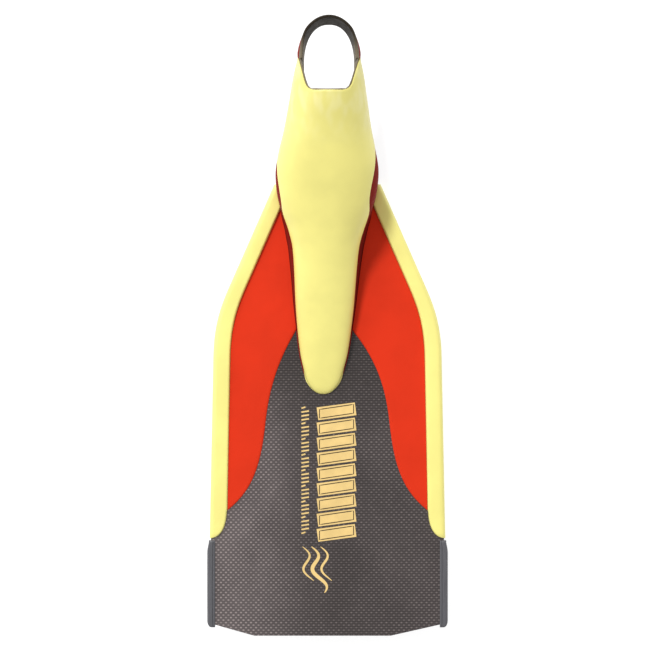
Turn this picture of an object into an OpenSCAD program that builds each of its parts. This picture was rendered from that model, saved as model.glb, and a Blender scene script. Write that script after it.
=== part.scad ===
// Swim fin: an open-heel rubber foot pocket on a stiff laminate blade with rubber wings.
// The blade lies flat along XY, the heel is toward +Y, the blade's tip toward -Y, and +Z is up.
// The origin is under the fin, midway along its length and width.

/* [Blade] */
// Thickness of the laminate blade
blade_t = 2; // [1.6:0.1:2.4]
// Width over the two edge rails
tip_w = 240; // [238:1:242]
// Width of each edge rail
rail_w = 8; // [7:0.5:9]
// Height of each edge rail
rail_h = 5; // [4:0.5:6]
// Thickness of the rubber panels bonded to the blade
panel_t = 1.2; // [0.8:0.1:1.6]
// Thickness of the rubber tongue under the blade
tongue_t = 2; // [1.6:0.1:2.4]

/* [Wings] */
// Width of each rubber wing, measured across the fin
wing_w = 17; // [15:0.5:18]
// Height of a wing beside the foot pocket
wing_root_h = 12; // [11:0.5:14]
// Height of a wing at its front end
wing_end_h = 8.5; // [8:0.5:10]

/* [Foot pocket] */
// Slope of the sole against the blade, in degrees
foot_angle = 14; // [13:0.5:15]
// Thickness of the outer rubber of the upper and the side walls
skin_t = 2.6; // [2:0.1:3]
// Thickness of the lining inside the foot pocket
liner_t = 1.6; // [1.2:0.1:2]
// Thickness of the rubber sole
sole_t = 4; // [3.5:0.1:4.5]
// Thickness of the footbed on the sole
insole_t = 2; // [1.5:0.1:2.5]

/* [Heel band] */
// Thickness of the heel band's outer rubber
band_t = 2.4; // [2:0.1:2.6]
// Height of the heel band where it meets the pocket
band_h = 31; // [29:1:32]

/* [Hidden] */

// The two sides, as seen from above with the heel at the top
left = -1;
right = 1;

// Glue line between two bonded layers of rubber
bond = 0.25;

// Heights of the blade's layers
blade_mid = 5;
blade_top = blade_mid + blade_t / 2;
blade_bottom = blade_mid - blade_t / 2;

// Stations along the fin
tip_y = -302;
tip_corner_y = -291;
flex_y = -206;
wing_end_y = -204.5;
nose_tip_y = -60;
nose_solid_y = -50;
wall_front_y = -45;
wing_full_y = 60;
toe_y = 72;
blade_heel_y = 150;
wing_heel_y = 144;
wedge_heel_y = 190;
instep_y = 229;
sole_heel_y = 236;
band_y = 262;

// Distance of the blade tip's two front corners from the centre line
tip_flat_left = 73;
tip_flat_right = 63;

// How far the blade's edge lies inside a wing, and inside an edge rail
wing_grip = 12;
rail_grip = 5;
// How much an edge rail narrows at its heel end, over what length, and how its front end is cut
rail_taper = 1.5;
rail_taper_l = 10;
rail_cut = 2.5;

// Where the panels end beside the pocket, and where their front edge meets its nose
panel_heel_y = 122.5;
panel_nose_y = 2;

// The tongue under the blade: half its width at the heel and where its taper begins, and its tip
tongue_heel_w = 30;
tongue_w = 26.5;
tongue_tip_y = -62;

// Half the width of the opening that the foot goes through, and of the hole under the heel
opening_w = 27;
heel_hole_w = 21.5;
// Reach of the heel hole's round corners, across the fin and along it
hole_corner_w = 6;
hole_corner_l = 16;

// The heel band's loop: half its width, and its depth at the lower and at the upper edge
band_w = 30.5;
band_depth_low = 38.5;
band_depth_high = 40;
// Height of the band's lower edge over the sole's underside, and how steeply its upper edge rises
band_lift = 3;
band_rise = 0.22;

// Gap in the blade that leaves the tip free to swing about its hinge
flex_gap = 0.8;
// Gap between the pocket's arms and the heel band, which is free to stretch backward
band_gap = 0.3;
// Gap between the pocket's foot and the wings, so that the panels' edges show
wing_gap = 1.2;

// Gap between the upper and a side wall, in degrees around the pocket's section
edge_gap = 0.3;

// Steps along the pocket, around each half of its section, up a side wall, along a bed and around
// the heel band
pocket_steps = 39;
arc_steps = 14;
wall_steps = 12;
bed_steps = 16;
band_steps = 24;

// Reach of cutting shapes past the fin: upward, downward, across it and past an edge
tall = 200;
deep = 50;
across = 300;
past = 5;

// Colours
blade_color = [0.25, 0.22, 0.23];
rail_color = [0.30, 0.32, 0.35];
yellow = [0.97, 0.94, 0.55];
red = [0.87, 0.20, 0.11];
dark_red = [0.52, 0.17, 0.17];
black = [0.24, 0.23, 0.22];
foam_color = [0.62, 0.60, 0.56];

// ---- curves ----

function mix(a, b, t) = a + (b - a) * t;

// Points of a curve from a to d that leaves toward b and arrives from c
function bezier(a, b, c, d, n = 12) =
    [for (i = [0:n]) let (t = i / n, u = 1 - t)
        u * u * u * a + 3 * u * u * t * b + 3 * u * t * t * c + t * t * t * d];

function reversed(list) = [for (i = [len(list) - 1:-1:0]) list[i]];

// Slope of a smooth curve at entry i of a table of [station, value] pairs
function slope(table, i) =
    let (a = table[max(i - 1, 0)], b = table[min(i + 1, len(table) - 1)])
    (b[1] - a[1]) / (b[0] - a[0]);

// Value at y of the smooth curve through a table of [station, value] pairs
function along(table, y, i = 0) =
    i < len(table) - 2 && y > table[i + 1][0]
        ? along(table, y, i + 1)
        : let (h = table[i + 1][0] - table[i][0], t = (y - table[i][0]) / h, u = 1 - t)
          u * u * (1 + 2 * t) * table[i][1] + t * t * (1 + 2 * u) * table[i + 1][1]
              + h * t * u * (u * slope(table, i) - t * slope(table, i + 1));

// ---- plan of the blade, the wings and the panels, for the side at +X ----

// The wing's outer edge: it widens from the pocket, bends, and runs almost straight to its end
wing_outer = concat(
    [[52.2, blade_heel_y]],
    bezier([95, 53], [106, 28.5], [113.6, 10], [114, -27]),
    [[117.5, wing_end_y]]
);

// Half the width over the wings at station y
function wing_edge(y, i = 0) =
    i < len(wing_outer) - 2 && y < wing_outer[i + 1][1]
        ? wing_edge(y, i + 1)
        : mix(wing_outer[i][0], wing_outer[i + 1][0],
              (wing_outer[i][1] - y) / (wing_outer[i][1] - wing_outer[i + 1][1]));

// Stations at which the long edges are drawn
edge_stations = [for (i = [0:44]) mix(wing_heel_y, -178, i / 44)];

// The wing's rounded front end, from its outer to its inner edge
wing_front = bezier([117.5, wing_end_y], [107, wing_end_y], [101, -195], [100.3, -178]);

function without_last(list) = [for (i = [0:len(list) - 2]) list[i]];

// ---- section of the foot pocket ----

// Half the width over the side walls
half_width = [
    [-60, 3], [-57, 9.5], [-50, 15], [-37, 19.5], [-17, 24], [23, 28.5], [82, 32.5], [101, 37],
    [121, 45], [140, 49.5], [159, 50.5], [178, 47], [197, 42.5], [229, 37], [245, 34.5], [262, 31]
];
// Height of the widest place
mid_height = [[-60, 7], [0, 14], [72, 27], [160, 49], [229, 65], [262, 71]];
// Height of the crown
crown_height = [
    [-60, 8.5], [-50, 13], [-20, 22], [20, 33], [60, 45], [100, 60], [148, 82], [190, 101],
    [229, 115], [262, 113]
];
// Angle up the wall at which the upper ends, on either side of the foot
upper_edge_left = [[-40, 0], [92, 0], [111, 9], [131, 22], [159, 17], [180, 2], [262, 0]];
upper_edge_right = [[-40, 0], [92, 0], [111, 12], [131, 31], [159, 26], [197, 0], [262, 0]];

// The pocket's centre line drifts a little toward +X on its way to the heel
function axis_x(y) = 0.018 * (y - 150) - 0.5;

// Height of the footbed's surface
function floor_z(y) = 15 + (y - toe_y) * tan(foot_angle);
function sole_bottom(y) = floor_z(y) - insole_t - sole_t;

// Height of the side walls' lower edge: on the blade, then up the wedge and along the sole
function base_z(y) =
    y < blade_heel_y ? blade_top
    : y < wedge_heel_y
        ? mix(blade_top, sole_bottom(wedge_heel_y), (y - blade_heel_y) / (wedge_heel_y - blade_heel_y))
        : sole_bottom(y);

// How far the foot of a side wall flares out beside the toes, or is tucked in under the sole behind them
foot_flare = [
    [-60, 0.6], [-40, 1.5], [0, 2], [40, 3.5], [90, 5.5], [112, 3], [126, 0], [150, -3], [200, -7],
    [262, -3]
];

function foot_x(y) = along(half_width, y) + along(foot_flare, y);

// Half the width that is free between the walls, and half the width that they take up
function clear_x(y) = min(foot_x(y), along(half_width, y));
function skirt_x(y) = max(foot_x(y), along(half_width, y));

// A point of the wall at station y, d under its surface. The angle s is -90 at the wall's foot,
// 0 at its widest place and 90 at the crown.
function wall_point(side, y, s, d) =
    let (w = along(half_width, y) - d, z = along(mid_height, y), low = foot_x(y) - d)
    s < 0
        ? [axis_x(y) + side * mix(low, w, cos(s)), y, z + (z - base_z(y)) * sin(s)]
        : [axis_x(y) + side * w * pow(max(cos(s), 0), 0.9), y,
           z + (along(crown_height, y) - d - z) * pow(sin(s), 0.9)];

// Angle up the wall at which it crosses height h, below its widest place
function wall_angle(y, h) = let (z = along(mid_height, y)) -asin((z - h) / (z - base_z(y)));

function upper_edge(side, y) = along(side == left ? upper_edge_left : upper_edge_right, y);

// Row of points over the pocket at station y, from angle a on the left over the crown to b on the right
function arch(y, a, b, d) = concat(
    [for (i = [0:arc_steps]) wall_point(left, y, mix(a, 90, i / arc_steps), d)],
    [for (i = [1:arc_steps]) wall_point(right, y, mix(90, b, i / arc_steps), d)]
);

function stations(a, b, n) = [for (i = [0:n]) mix(a, b, i / n)];

// Stations of the pocket's skin from the solid nose to the ends of the arms
skin_stations = stations(nose_solid_y, band_y - band_gap, pocket_steps);

// The same stations between a and b, with a and b themselves, so that bonded layers run parallel
function stations_within(a, b, apart = 1) =
    concat([a], [for (y = skin_stations) if (y > a + apart && y < b - apart) y], [b]);

// ---- solids between two sheets of points ----

// Triangles over a grid of points, numbered row by row from first
function grid_faces(rows, columns, first, flip) =
    [for (r = [0:rows - 2], c = [0:columns - 2], half = [0, 1])
        let (a = first + r * columns + c, b = a + 1, e = a + columns, f = e + 1,
             face = half == 0 ? [a, b, f] : [a, f, e])
        flip ? [face[0], face[2], face[1]] : face];

// Triangles between two lines of points
function seam_faces(line, other) =
    [for (i = [0:len(line) - 2], half = [0, 1])
        half == 0 ? [line[i], other[i + 1], other[i]] : [line[i], line[i + 1], other[i + 1]]];

// A closed sheet of rubber between an outer and an inner grid of points
module layer(outer, inner) {
    rows = len(outer);
    columns = len(outer[0]);
    count = rows * columns;
    rim = concat(
        [for (c = [0:columns - 1]) c],
        [for (r = [1:rows - 1]) r * columns + columns - 1],
        [for (c = [columns - 2:-1:0]) (rows - 1) * columns + c],
        [for (r = [rows - 2:-1:0]) r * columns]
    );
    polyhedron(
        points = concat([for (row = outer) each row], [for (row = inner) each row]),
        faces = concat(
            grid_faces(rows, columns, 0, true),
            grid_faces(rows, columns, count, false),
            seam_faces(rim, [for (i = rim) i + count])
        )
    );
}

// A closed solid through a list of rings of points, with flat ends
module loft(rings) {
    sides = len(rings[0]);
    last = (len(rings) - 1) * sides;
    polyhedron(
        points = [for (ring = rings) each ring],
        faces = concat(
            [for (r = [0:len(rings) - 2], i = [0:sides - 1], half = [0, 1])
                let (a = r * sides + i, b = r * sides + (i + 1) % sides, e = a + sides, f = b + sides)
                half == 0 ? [a, f, b] : [a, e, f]],
            [[for (i = [0:sides - 1]) i]],
            [[for (i = [sides - 1:-1:0]) last + i]]
        )
    );
}

// A plate with the given side profile, as points of [y, z], across the whole width
module side_profile(points) {
    rotate([90, 0, 90]) translate([0, 0, -across / 2]) linear_extrude(across) polygon(points);
}

// A flat plate between heights a and b with the given plan for +X, on the given side
module plate(side, a, b, points) {
    mirror([side == left ? 1 : 0, 0, 0]) translate([0, 0, a]) linear_extrude(b - a) polygon(points);
}

// ---- blade ----

// Half the width between the edge rails
rail_inner = tip_w / 2 - rail_w;

// Half the blade's width between the wings
function blade_edge(y) = wing_edge(y) - wing_w + wing_grip;

module blade_root() {
    half = [for (y = edge_stations) [blade_edge(y), y]];
    front = [[rail_inner, wing_end_y + 2 * past], [rail_inner, flex_y + flex_gap / 2]];
    edge = concat([[blade_edge(blade_heel_y), blade_heel_y]], half, front);
    color(blade_color) translate([0, 0, blade_bottom]) linear_extrude(blade_t)
        polygon(concat(edge, [for (p = reversed(edge)) [-p[0], p[1]]]));
}

// The blade's free end, cut off square with two slanted corners
module blade_tip() {
    side = rail_inner + rail_grip;
    color(blade_color) translate([0, 0, blade_bottom]) linear_extrude(blade_t)
        polygon([
            [side, flex_y - flex_gap / 2], [side, tip_corner_y + 1], [tip_flat_right, tip_y],
            [-tip_flat_left, tip_y], [-side, tip_corner_y + 1], [-side, flex_y - flex_gap / 2]
        ]);
}

// A channel of plastic pushed over the free edge of the blade
module edge_rail(side) {
    outer = tip_w / 2;
    heel = flex_y - flex_gap;
    color(rail_color) difference() {
        plate(side, blade_mid - rail_h / 2, blade_mid + rail_h / 2, [
            [rail_inner, heel], [outer - rail_taper, heel], [outer, flex_y - rail_taper_l],
            [outer, tip_corner_y + rail_cut], [rail_inner + rail_cut, tip_corner_y - rail_cut],
            [rail_inner, tip_corner_y - rail_cut]
        ]);
        plate(side, blade_bottom, blade_top, [
            [rail_inner - past, flex_y + past], [rail_inner + rail_grip, flex_y + past],
            [rail_inner + rail_grip, tip_y], [rail_inner - past, tip_y]
        ]);
    }
}

// Above the blade, the wing's inner edge gives way to the foot pocket behind its toes
function wing_inner(y) =
    y < toe_y ? wing_edge(y) - wing_w : max(wing_edge(y) - wing_w, skirt_x(y) + wing_gap);

function wing_plan(inner) = concat(
    [for (y = edge_stations) [wing_edge(y), y]],
    wing_front,
    reversed([for (i = [0:len(edge_stations) - 2]) [inner[i], edge_stations[i]]])
);

// The web ends where the wing's rounded front end leaves the blade's edge
function wing_web(inner) = concat(
    [for (y = edge_stations) [wing_edge(y), y]],
    [for (p = wing_front) if (p[0] > rail_inner) p],
    [[rail_inner, wing_end_y + 1]],
    reversed([for (i = [0:len(edge_stations) - 1]) [inner[i], edge_stations[i]]])
);

// A rubber wing: a flange under the blade, a flange over it and a web along the blade's edge
module wing(side) {
    grip = wing_w - wing_grip;
    below = [for (y = edge_stations) wing_edge(y) - wing_w];
    beside = [for (y = edge_stations) wing_edge(y) - grip];
    above = [for (y = edge_stations) wing_inner(y)];
    color(yellow) intersection() {
        union() {
            plate(side, 0, blade_bottom, wing_plan(below));
            plate(side, blade_bottom, blade_top, wing_web(beside));
            plate(side, blade_top, tall, wing_plan(above));
        }
        side_profile([
            [wing_end_y - past, 0], [wing_heel_y + past, 0], [wing_heel_y + past, wing_root_h],
            [wing_full_y, wing_root_h], [wing_end_y - past, wing_end_h]
        ]);
    }
}

// ---- panels ----

// The panel's edge along the wing, from its front end to its heel
beside_wing = [for (y = reversed(edge_stations)) if (y < panel_heel_y) [wing_edge(y) - wing_w, y]];

// A point beside the foot of the pocket, for the given side
function pocket_foot(side, y) = [side * axis_x(y) + skirt_x(y) + bond, y];

// The panel's edge on the blade: a long S from the nose to the wing's front end
function panel_edge(side) = concat(
    without_last(bezier(pocket_foot(side, panel_nose_y), [48, -26], [57.5, -52], [61.5, -87])),
    without_last(bezier([61.5, -87], [66, -131], [74, -157], [100, -177.5]))
);

module top_panel(side) {
    ys = reversed(stations_within(panel_nose_y + 2, panel_heel_y));
    beside_pocket = [for (y = ys) pocket_foot(side, y)];
    color(red) plate(side, blade_top, blade_top + panel_t,
        concat(beside_wing, beside_pocket, panel_edge(side)));
}

module bottom_panel(side) {
    beside_tongue = [[tongue_heel_w, panel_heel_y], [tongue_w, panel_nose_y + 2]];
    color(red) plate(side, blade_bottom - panel_t, blade_bottom,
        concat(beside_wing, beside_tongue, panel_edge(side)));
}

// The tongue of rubber under the blade that carries the pocket's load
module blade_tongue() {
    edge = concat(
        [[tongue_heel_w, blade_heel_y], [tongue_heel_w, panel_heel_y]],
        bezier([tongue_w, panel_nose_y + 2], [24, -30], [14, tongue_tip_y], [0, tongue_tip_y])
    );
    color(red) translate([0, 0, blade_bottom - tongue_t]) linear_extrude(tongue_t)
        polygon(concat(edge, [for (p = reversed(without_last(edge))) [-p[0], p[1]]]));
}

// ---- inside of the foot pocket ----

// Plan of the space between the side walls, d inside their feet, from station a to station b
function footprint(a, b, d) =
    let (ys = stations(a, b, bed_steps))
    concat(
        [for (y = ys) [axis_x(y) + clear_x(y) - d, y]],
        [for (y = reversed(ys)) [axis_x(y) - clear_x(y) + d, y]]
    );

// Foam that fills the streamlined nose ahead of the toes
module nose_core() {
    color(foam_color) loft([
        for (y = stations_within(nose_solid_y + bond, toe_y)) arch(y, -90, -90, skin_t + bond)
    ]);
}

// Foam wedge between the blade and the sloping sole
module wedge_core() {
    color(foam_color) intersection() {
        linear_extrude(tall) polygon(footprint(toe_y, wedge_heel_y, skin_t + bond));
        side_profile([
            [toe_y + bond, blade_top], [blade_heel_y, blade_top],
            [wedge_heel_y, sole_bottom(wedge_heel_y)], [toe_y + bond, sole_bottom(toe_y + bond)]
        ]);
    }
}

// A hole right through the pocket and open toward the band. Its plan for +X runs outward from the
// centre line.
module heelward_hole(half) {
    translate([axis_x(band_y), 0, -deep]) linear_extrude(tall + deep)
        polygon(concat(half, reversed([for (p = half) if (p[0] > 0) [-p[0], p[1]]])));
}

// The opening through the sole under the heel
module heel_hole() {
    w = heel_hole_w;
    y = sole_heel_y;
    heelward_hole(concat(
        bezier([0, y], [w - hole_corner_w, y], [w, y + hole_corner_w / 2], [w, y + hole_corner_l]),
        [[w, band_y + past]]
    ));
}

// A sloping plate inside the pocket between two depths under the footbed's surface
module bed(a, b, top, bottom, d) {
    intersection() {
        linear_extrude(tall) polygon(footprint(a, b, d));
        side_profile([
            [a, floor_z(a) - bottom], [b, floor_z(b) - bottom], [b, floor_z(b) - top], [a, floor_z(a) - top]
        ]);
    }
}

module sole() {
    color(black) difference() {
        bed(toe_y + bond, band_y - band_gap, insole_t, insole_t + sole_t, skin_t + bond);
        heel_hole();
    }
}

module insole() {
    color(black) bed(toe_y + bond, sole_heel_y - 2, 0, insole_t, skin_t + liner_t + 2 * bond);
}

// ---- outside of the foot pocket ----

// The side walls begin behind the solid nose
function has_walls(y) = y > wall_front_y;

// Sheet of points d under the surface of a side wall, from its foot to the edge of the upper
function wall_sheet(side, d) = [
    for (y = skin_stations) if (has_walls(y))
        [for (i = [0:wall_steps]) wall_point(side, y, mix(-90, upper_edge(side, y), i / wall_steps), d)]
];

module side_wall(side) {
    color(dark_red) difference() {
        if (side == left) layer(wall_sheet(side, 0), wall_sheet(side, skin_t));
        else layer(wall_sheet(side, skin_t), wall_sheet(side, 0));
        foot_opening(0);
    }
}

// The opening that the foot goes through, d smaller all round
module foot_opening(d) {
    w = opening_w - d;
    y = instep_y + d;
    heelward_hole(concat(
        [[0, y]],
        bezier([14, y], [w - 5, y], [w - 2, instep_y + 7], [w - 0.5, instep_y + 23]),
        [[w, band_y + past]]
    ));
}

// Angle at which the upper meets a side wall, or the blade where the nose has no walls
function upper_foot(side, y) = has_walls(y) ? upper_edge(side, y) + edge_gap : -90;

module pocket_upper() {
    ys = skin_stations;
    outer = [for (y = ys) arch(y, upper_foot(left, y), upper_foot(right, y), 0)];
    inner = [for (y = ys) arch(y, upper_foot(left, y), upper_foot(right, y), skin_t)];
    color(yellow) difference() {
        union() {
            layer(outer, inner);
            loft([for (y = [nose_tip_y, -57, nose_solid_y]) arch(y, -90, -90, 0)]);
        }
        foot_opening(0);
    }
}

module pocket_liner() {
    ys = stations_within(toe_y + bond, band_y - band_gap);
    a = skin_t + bond;
    b = a + liner_t;
    function edge(y) = wall_angle(y, floor_z(y));
    color(black) difference() {
        layer([for (y = ys) arch(y, edge(y), edge(y), a)], [for (y = ys) arch(y, edge(y), edge(y), b)]);
        foot_opening(1.5);
    }
}

// ---- heel band ----

// A point of the band: the angle turns from -90 on the left over the back of the heel to 90 on the
// right, h is 0 at the band's lower edge and 1 at its upper edge, and d is the depth under its surface
function band_point(angle, h, d) =
    let (
        depth = mix(band_depth_low, band_depth_high, h) - d,
        y = band_y + band_gap / 2 + depth * abs(cos(angle)),
        low = sole_bottom(y) + band_lift,
        high = sole_bottom(band_y) + band_lift + band_h + (y - band_y) * band_rise
    )
    [axis_x(band_y) + (band_w - d) * sin(angle), y, mix(low, high, h)];

module band_layer(a, b) {
    angles = stations(-90, 90, band_steps);
    function sheet(d) = [for (angle = angles) [for (h = [0, 0.5, 1]) band_point(angle, h, d)]];
    layer(sheet(a), sheet(b));
}

module heel_band() {
    color(dark_red) band_layer(0, band_t);
}

module heel_band_liner() {
    color(black) band_layer(band_t + bond, band_t + bond + liner_t);
}

blade_root();
blade_tip();
edge_rail(left);  // edge_rail_left
edge_rail(right);  // edge_rail_right
wing(left);  // wing_left
wing(right);  // wing_right
top_panel(left);  // top_panel_left
top_panel(right);  // top_panel_right
bottom_panel(left);  // bottom_panel_left
bottom_panel(right);  // bottom_panel_right
blade_tongue();
nose_core();
wedge_core();
sole();
insole();
side_wall(left);  // side_wall_left
side_wall(right);  // side_wall_right
pocket_liner();
pocket_upper();
heel_band();
heel_band_liner();
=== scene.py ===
import math

import bmesh
import bpy
import numpy as np
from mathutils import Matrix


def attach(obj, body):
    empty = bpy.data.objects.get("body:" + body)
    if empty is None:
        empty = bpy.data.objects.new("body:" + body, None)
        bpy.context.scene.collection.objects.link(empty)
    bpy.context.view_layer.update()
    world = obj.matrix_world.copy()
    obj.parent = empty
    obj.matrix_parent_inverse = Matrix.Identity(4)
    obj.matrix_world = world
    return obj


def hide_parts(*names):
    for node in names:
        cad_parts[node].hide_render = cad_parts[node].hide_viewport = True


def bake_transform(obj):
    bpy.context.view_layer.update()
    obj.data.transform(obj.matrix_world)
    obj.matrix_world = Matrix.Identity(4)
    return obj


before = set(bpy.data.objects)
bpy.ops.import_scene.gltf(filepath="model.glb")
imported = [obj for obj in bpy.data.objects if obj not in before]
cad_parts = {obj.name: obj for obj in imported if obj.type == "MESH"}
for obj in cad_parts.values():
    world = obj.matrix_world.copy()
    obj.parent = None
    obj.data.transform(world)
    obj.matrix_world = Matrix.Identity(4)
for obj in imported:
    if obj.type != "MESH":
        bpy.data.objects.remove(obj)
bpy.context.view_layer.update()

# A swim fin: rubber foot pocket, rubber wings and panels on a woven laminate blade.
# Shapes are worked out in millimetres and become metres where a mesh is made.
# The heel is toward +Y, the blade's tip toward -Y, and +Z is up.

MM = 0.001
LEFT, RIGHT = -1, 1

# Heights of the blade, and of the rubber on it
BLADE_MID, BLADE_TOP, BLADE_BOTTOM = 5.0, 6.0, 4.0
PANEL_T, TONGUE_T = 1.2, 2.0

# Stations along the fin
TIP_Y, TIP_CORNER_Y, RAIL_END_Y, RAIL_HEEL_Y = -302.0, -290.0, -293.5, -206.8
WING_END_Y, WING_FRONT_Y, WING_HEEL_Y = -204.5, -178.0, 150.0
PANEL_FRONT_Y, PANEL_NOSE_Y, PANEL_HEEL_Y = -177.2, 2.0, 127.0
NOSE_TIP_Y, NOSE_ROUND_Y, TOE_Y = -60.8, -50.0, 73.0
RAMP_Y, RAMP_HEEL_Y = 150.0, 190.0
INSTEP_Y, BAND_Y, HORN_TIP_Y = 229.0, 262.15, 263.5

# Half widths across the fin
BLADE_HALF, RAIL_OUTER, RAIL_W, WING_W = 116.0, 120.0, 8.0, 17.0

# The blade bends between these two points, and the rubber arms stretch between the other two
FLEX = dict(a="fin", b="blade_end", start=(0, -0.198, 0.005), end=(0, -0.226, 0.005))
STRETCH = dict(a="fin", b="heel_strap", start=(0, 0.246, 0.07), end=(0, 0.290, 0.07))


# ---- curves ----

def mix(a, b, t):
    return a + (b - a) * t


def smooth(t):
    t = min(max(t, 0.0), 1.0)
    return t * t * (3 - 2 * t)


def rounded(t):
    """Height of a quarter circle at t: 0 at its foot, 1 from t = 1 on."""
    return math.sqrt(1 - (1 - min(max(t, 0.0), 1.0)) ** 2)


def bezier(a, b, c, d, n=24):
    """Points of a curve from a to d that leaves toward b and arrives from c."""
    a, b, c, d = (np.array(p, float) for p in (a, b, c, d))
    t = np.linspace(0, 1, n + 1)[:, None]
    u = 1 - t
    return u**3 * a + 3 * u * u * t * b + 3 * u * t * t * c + t**3 * d


class Curve:
    """A smooth curve through (station, value) pairs, level beyond its ends."""

    def __init__(self, *pairs):
        self.x, self.v = np.array(pairs, float).T
        before = np.maximum(np.arange(len(self.x)) - 1, 0)
        after = np.minimum(np.arange(len(self.x)) + 1, len(self.x) - 1)
        self.slope = (self.v[after] - self.v[before]) / (self.x[after] - self.x[before])

    def __call__(self, y):
        y = min(max(y, self.x[0]), self.x[-1])
        i = min(max(int(np.searchsorted(self.x, y)) - 1, 0), len(self.x) - 2)
        h = self.x[i + 1] - self.x[i]
        t = (y - self.x[i]) / h
        u = 1 - t
        return float(
            u * u * (1 + 2 * t) * self.v[i] + t * t * (1 + 2 * u) * self.v[i + 1]
            + h * t * u * (u * self.slope[i] - t * self.slope[i + 1])
        )


# ---- meshes ----

def make(name, points, faces, material, slot, stands_for=(), bend=None, marks=None, flats=False):
    """A mesh on the fin's body, or, where bend is given, a mesh on no body with its place baked into
    its points.

    marks are extra values per point, for the material. flats keeps hard edges between flat faces.
    """
    mesh = bpy.data.meshes.new(name)
    points = np.array(points, float)
    mesh.from_pydata((points * MM).tolist(), [], faces)
    rest = mesh.attributes.new("rest", "FLOAT_VECTOR", "POINT")
    rest.data.foreach_set("vector", points.astype(np.float32).ravel())
    for key, values in (marks or {}).items():
        mark = mesh.attributes.new(key, "FLOAT", "POINT")
        mark.data.foreach_set("value", np.array(values, np.float32))
    work = bmesh.new()
    work.from_mesh(mesh)
    bmesh.ops.remove_doubles(work, verts=work.verts, dist=1e-6)
    bmesh.ops.recalc_face_normals(work, faces=work.faces)
    work.to_mesh(mesh)
    work.free()
    mesh.polygons.foreach_set("use_smooth", [True] * len(mesh.polygons))
    mesh.materials.append(material)
    piece = bpy.data.objects.new(name, mesh)
    bpy.context.scene.collection.objects.link(piece)
    if flats:
        mesh.set_sharp_from_angle(angle=math.radians(50))
        piece.modifiers.new("flat faces", "WEIGHTED_NORMAL").keep_sharp = True
    if bend:
        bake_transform(piece)
    else:
        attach(piece, "fin")
    if stands_for:
        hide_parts(*stands_for)
    return piece


def grid_faces(rows, columns, first=0, around=False):
    """Faces over a grid of points numbered row by row, joined up around each row if asked."""
    steps = columns if around else columns - 1
    return [
        (first + r * columns + c, first + r * columns + (c + 1) % columns,
         first + (r + 1) * columns + (c + 1) % columns, first + (r + 1) * columns + c)
        for r in range(rows - 1) for c in range(steps)
    ]


def shell(outer, inner, bulge=0.7, arc=3):
    """Points and faces of a closed sheet between two grids of points, with a rounded rim."""
    outer, inner = np.array(outer, float), np.array(inner, float)
    rows, columns = outer.shape[:2]
    count = rows * columns
    rim = (
        [(0, c) for c in range(columns)]
        + [(r, columns - 1) for r in range(1, rows)]
        + [(rows - 1, c) for c in range(columns - 2, -1, -1)]
        + [(r, 0) for r in range(rows - 2, 0, -1)]
    )
    points = [*outer.reshape(-1, 3), *inner.reshape(-1, 3)]
    faces = grid_faces(rows, columns) + grid_faces(rows, columns, count)
    strips = []
    for r, c in rim:
        middle = (outer[r, c] + inner[r, c]) / 2
        half = (outer[r, c] - inner[r, c]) / 2
        near = min(max(r, 1), rows - 2), min(max(c, 1), columns - 2)
        away = middle - (outer[near] + inner[near]) / 2
        away = away - half * (away @ half) / max(half @ half, 1e-9)
        away = away / max(np.linalg.norm(away), 1e-9) * np.linalg.norm(half) * bulge
        strip = [r * columns + c]
        for k in range(1, arc + 1):
            turn = math.pi * k / (arc + 1)
            strip.append(len(points))
            points.append(middle + half * math.cos(turn) + away * math.sin(turn))
        strips.append([*strip, count + r * columns + c])
    for a, b in zip(strips, strips[1:] + strips[:1]):
        faces += [(a[k], b[k], b[k + 1], a[k + 1]) for k in range(arc + 1)]
    return points, faces


def tube(rings):
    """Points and faces of a closed solid through rings of points, with capped ends."""
    sides = len(rings[0])
    points = [p for ring in rings for p in ring]
    faces = grid_faces(len(rings), sides, around=True)
    last = (len(rings) - 1) * sides
    return points, faces + [tuple(range(sides)), tuple(range(last, last + sides))]


def joined(parts):
    """Points and faces of several meshes together."""
    points, faces = [], []
    for p, f in parts:
        faces += [tuple(v + len(points) for v in face) for face in f]
        points += list(p)
    return points, faces


# ---- materials ----

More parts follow.
